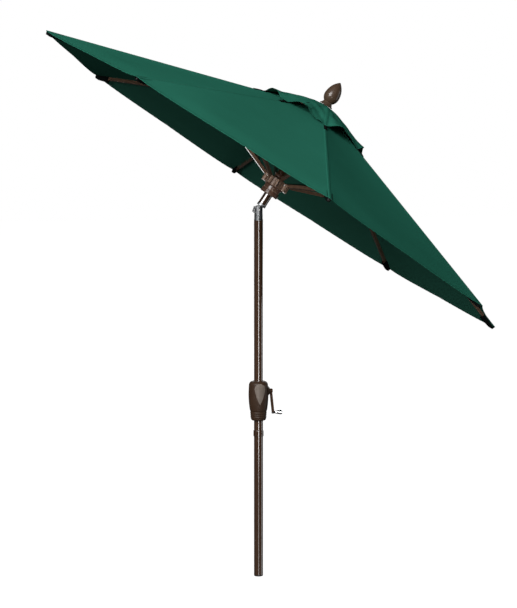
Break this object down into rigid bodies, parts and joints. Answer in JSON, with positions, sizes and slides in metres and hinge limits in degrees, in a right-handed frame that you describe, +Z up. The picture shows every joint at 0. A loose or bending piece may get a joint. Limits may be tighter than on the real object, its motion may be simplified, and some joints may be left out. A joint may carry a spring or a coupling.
{
  "type": "patio umbrella",
  "caption": "Octagonal market umbrella on a straight pole, with a crank-lifted canopy, a push-button tilt joint, a vent cap and a turned finial.",
  "frame": {"origin": "centre of the pole's foot", "axes": "+Z up the pole, +X the way the head leans, +Y to the far side from the crank housing's inlay"},
  "size_m": [1.9142, 2.2918, 2.3101],
  "materials": {
    "bronze_paint": "satin dark bronze powder coat",
    "rib_paint": "satin bronze powder coat",
    "housing_plastic": "moulded brown plastic",
    "inlay_plastic": "grey-brown inlay",
    "hub_plastic": "glossy brown plastic",
    "finial_lacquer": "lacquered bronze brown",
    "black_plastic": "moulded black plastic",
    "cast_alloy": "die-cast, lightly polished",
    "chrome": "polished chrome plate",
    "zinc_steel": "zinc plated",
    "canopy_fabric": "woven forest green polyester"
  },
  "bodies": {
    "pole": {"lower_pole": "bronze_paint", "foot_plug": "black_plastic", "joint_collar": "bronze_paint", "main_pole": "bronze_paint", "housing_front": "housing_plastic", "housing_back": "housing_plastic", "housing_inlay": "inlay_plastic", "housing_screws": "zinc_steel", "crank_bushing": "chrome", "knuckle_lower": "cast_alloy", "tilt_pin": "zinc_steel"},
    "button": {"tilt_button": "cast_alloy"},
    "crank": {"crank_shaft": "zinc_steel", "cord_spool": "black_plastic", "crank_arm": "bronze_paint", "knob_axle": "chrome"},
    "knob": {"crank_knob": "chrome"},
    "head": {"knuckle_upper": "cast_alloy", "upper_pole": "bronze_paint", "top_hub": "hub_plastic", "hub_pins": "zinc_steel", "pulley_pin": "zinc_steel", "finial": "finial_lacquer", "vent_cap": "canopy_fabric"},
    "pulley": {"top_pulley": "black_plastic"},
    "runner": {"runner_collar": "hub_plastic", "runner_hub": "hub_plastic", "runner_pins": "zinc_steel"},
    "rib_1": {"rib_1": "rib_paint", "rib_tip_1": "black_plastic", "canopy_1": "canopy_fabric"},
    "strut_1": {"strut_1": "rib_paint"},
    "rib_2": {"rib_2": "rib_paint", "rib_tip_2": "black_plastic", "canopy_2": "canopy_fabric"},
    "strut_2": {"strut_2": "rib_paint"},
    "rib_3": {"rib_3": "rib_paint", "rib_tip_3": "black_plastic", "canopy_3": "canopy_fabric"},
    "strut_3": {"strut_3": "rib_paint"},
    "rib_4": {"rib_4": "rib_paint", "rib_tip_4": "black_plastic", "canopy_4": "canopy_fabric"},
    "strut_4": {"strut_4": "rib_paint"},
    "rib_5": {"rib_5": "rib_paint", "rib_tip_5": "black_plastic", "canopy_5": "canopy_fabric"},
    "strut_5": {"strut_5": "rib_paint"},
    "rib_6": {"rib_6": "rib_paint", "rib_tip_6": "black_plastic", "canopy_6": "canopy_fabric"},
    "strut_6": {"strut_6": "rib_paint"},
    "rib_7": {"rib_7": "rib_paint", "rib_tip_7": "black_plastic", "canopy_7": "canopy_fabric"},
    "strut_7": {"strut_7": "rib_paint"},
    "rib_8": {"rib_8": "rib_paint", "rib_tip_8": "black_plastic", "canopy_8": "canopy_fabric"},
    "strut_8": {"strut_8": "rib_paint"}
  },
  "joints": [
    {"name": "tilt", "type": "hinge", "parent": "pole", "child": "head", "pos_m": [0, 0, 1.565], "axis": [0, 1, 0], "range_deg": [-33.4, 0]},
    {"name": "tilt_button", "type": "slide", "parent": "pole", "child": "button", "axis": [1, 0, 0], "range_m": [0, 0.003], "stiffness_N_per_m": 900, "springref_m": -0.002},
    {"name": "crank_spin", "type": "hinge", "parent": "pole", "child": "crank", "pos_m": [0, 0, 0.797], "axis": [1, 0, 0], "range_deg": [-215, 0]},
    {"name": "knob_spin", "type": "hinge", "parent": "crank", "child": "knob", "pos_m": [0.06794, 0, 0.70453], "axis": [1, 0, 0], "continuous": true},
    {"name": "runner_slide", "type": "slide", "parent": "head", "child": "runner", "axis": [0.5505, 0, 0.8348], "range_m": [-0.045, 0]},
    {"name": "pulley_spin", "type": "hinge", "parent": "head", "child": "pulley", "pos_m": [0.24882, 0, 1.94235], "axis": [0, 1, 0], "range_deg": [-246, 0]},
    {"name": "rib_1_fold", "type": "hinge", "parent": "head", "child": "rib_1", "pos_m": [0.29463, 0, 1.95371], "axis": [0, 1, 0], "range_deg": [0, 2.8]},
    {"name": "strut_1_fold", "type": "hinge", "parent": "runner", "child": "strut_1", "pos_m": [0.12046, 0, 1.65686], "axis": [0, 1, 0], "range_deg": [-2.8, 0]},
    {"name": "rib_2_fold", "type": "hinge", "parent": "head", "child": "rib_2", "pos_m": [0.28681, 0.02263, 1.95886], "axis": [-0.5903, 0.7071, 0.3892], "range_deg": [0, 2.8]},
    {"name": "strut_2_fold", "type": "hinge", "parent": "runner", "child": "strut_2", "pos_m": [0.10824, 0.03536, 1.66492], "axis": [-0.5903, 0.7071, 0.3892], "range_deg": [-2.8, 0]},
    {"name": "rib_3_fold", "type": "hinge", "parent": "head", "child": "rib_3", "pos_m": [0.26792, 0.032, 1.97132], "axis": [-0.8348, 0, 0.5505], "range_deg": [0, 2.8]},
    {"name": "strut_3_fold", "type": "hinge", "parent": "runner", "child": "strut_3", "pos_m": [0.07872, 0.05, 1.68438], "axis": [-0.8348, 0, 0.5505], "range_deg": [-2.8, 0]},
    {"name": "rib_4_fold", "type": "hinge", "parent": "head", "child": "rib_4", "pos_m": [0.24903, 0.02263, 1.98378], "axis": [-0.5903, -0.7071, 0.3892], "range_deg": [0, 2.8]},
    {"name": "strut_4_fold", "type": "hinge", "parent": "runner", "child": "strut_4", "pos_m": [0.0492, 0.03536, 1.70385], "axis": [-0.5903, -0.7071, 0.3892], "range_deg": [-2.8, 0]},
    {"name": "rib_5_fold", "type": "hinge", "parent": "head", "child": "rib_5", "pos_m": [0.2412, 0, 1.98894], "axis": [0, -1, 0], "range_deg": [0, 2.8]},
    {"name": "strut_5_fold", "type": "hinge", "parent": "runner", "child": "strut_5", "pos_m": [0.03698, 0, 1.71191], "axis": [0, -1, 0], "range_deg": [-2.8, 0]},
    {"name": "rib_6_fold", "type": "hinge", "parent": "head", "child": "rib_6", "pos_m": [0.24903, -0.02263, 1.98378], "axis": [0.5903, -0.7071, -0.3892], "range_deg": [0, 2.8]},
    {"name": "strut_6_fold", "type": "hinge", "parent": "runner", "child": "strut_6", "pos_m": [0.0492, -0.03536, 1.70385], "axis": [0.5903, -0.7071, -0.3892], "range_deg": [-2.8, 0]},
    {"name": "rib_7_fold", "type": "hinge", "parent": "head", "child": "rib_7", "pos_m": [0.26792, -0.032, 1.97132], "axis": [0.8348, 0, -0.5505], "range_deg": [0, 2.8]},
    {"name": "strut_7_fold", "type": "hinge", "parent": "runner", "child": "strut_7", "pos_m": [0.07872, -0.05, 1.68438], "axis": [0.8348, 0, -0.5505], "range_deg": [-2.8, 0]},
    {"name": "rib_8_fold", "type": "hinge", "parent": "head", "child": "rib_8", "pos_m": [0.28681, -0.02263, 1.95886], "axis": [0.5903, 0.7071, -0.3892], "range_deg": [0, 2.8]},
    {"name": "strut_8_fold", "type": "hinge", "parent": "runner", "child": "strut_8", "pos_m": [0.10824, -0.03536, 1.66492], "axis": [0.5903, 0.7071, -0.3892], "range_deg": [-2.8, 0]}
  ],
  "couplings": [
    {"joint": "crank_spin", "follows": "runner_slide", "rad_per_m": 83.333},
    {"joint": "pulley_spin", "follows": "runner_slide", "rad_per_m": 95.238},
    {"joint": "rib_1_fold", "follows": "runner_slide", "rad_per_m": -1.0731},
    {"joint": "strut_1_fold", "follows": "runner_slide", "rad_per_m": 1.0664},
    {"joint": "rib_2_fold", "follows": "runner_slide", "rad_per_m": -1.0731},
    {"joint": "strut_2_fold", "follows": "runner_slide", "rad_per_m": 1.0664},
    {"joint": "rib_3_fold", "follows": "runner_slide", "rad_per_m": -1.0731},
    {"joint": "strut_3_fold", "follows": "runner_slide", "rad_per_m": 1.0664},
    {"joint": "rib_4_fold", "follows": "runner_slide", "rad_per_m": -1.0731},
    {"joint": "strut_4_fold", "follows": "runner_slide", "rad_per_m": 1.0664},
    {"joint": "rib_5_fold", "follows": "runner_slide", "rad_per_m": -1.0731},
    {"joint": "strut_5_fold", "follows": "runner_slide", "rad_per_m": 1.0664},
    {"joint": "rib_6_fold", "follows": "runner_slide", "rad_per_m": -1.0731},
    {"joint": "strut_6_fold", "follows": "runner_slide", "rad_per_m": 1.0664},
    {"joint": "rib_7_fold", "follows": "runner_slide", "rad_per_m": -1.0731},
    {"joint": "strut_7_fold", "follows": "runner_slide", "rad_per_m": 1.0664},
    {"joint": "rib_8_fold", "follows": "runner_slide", "rad_per_m": -1.0731},
    {"joint": "strut_8_fold", "follows": "runner_slide", "rad_per_m": 1.0664}
  ]
}
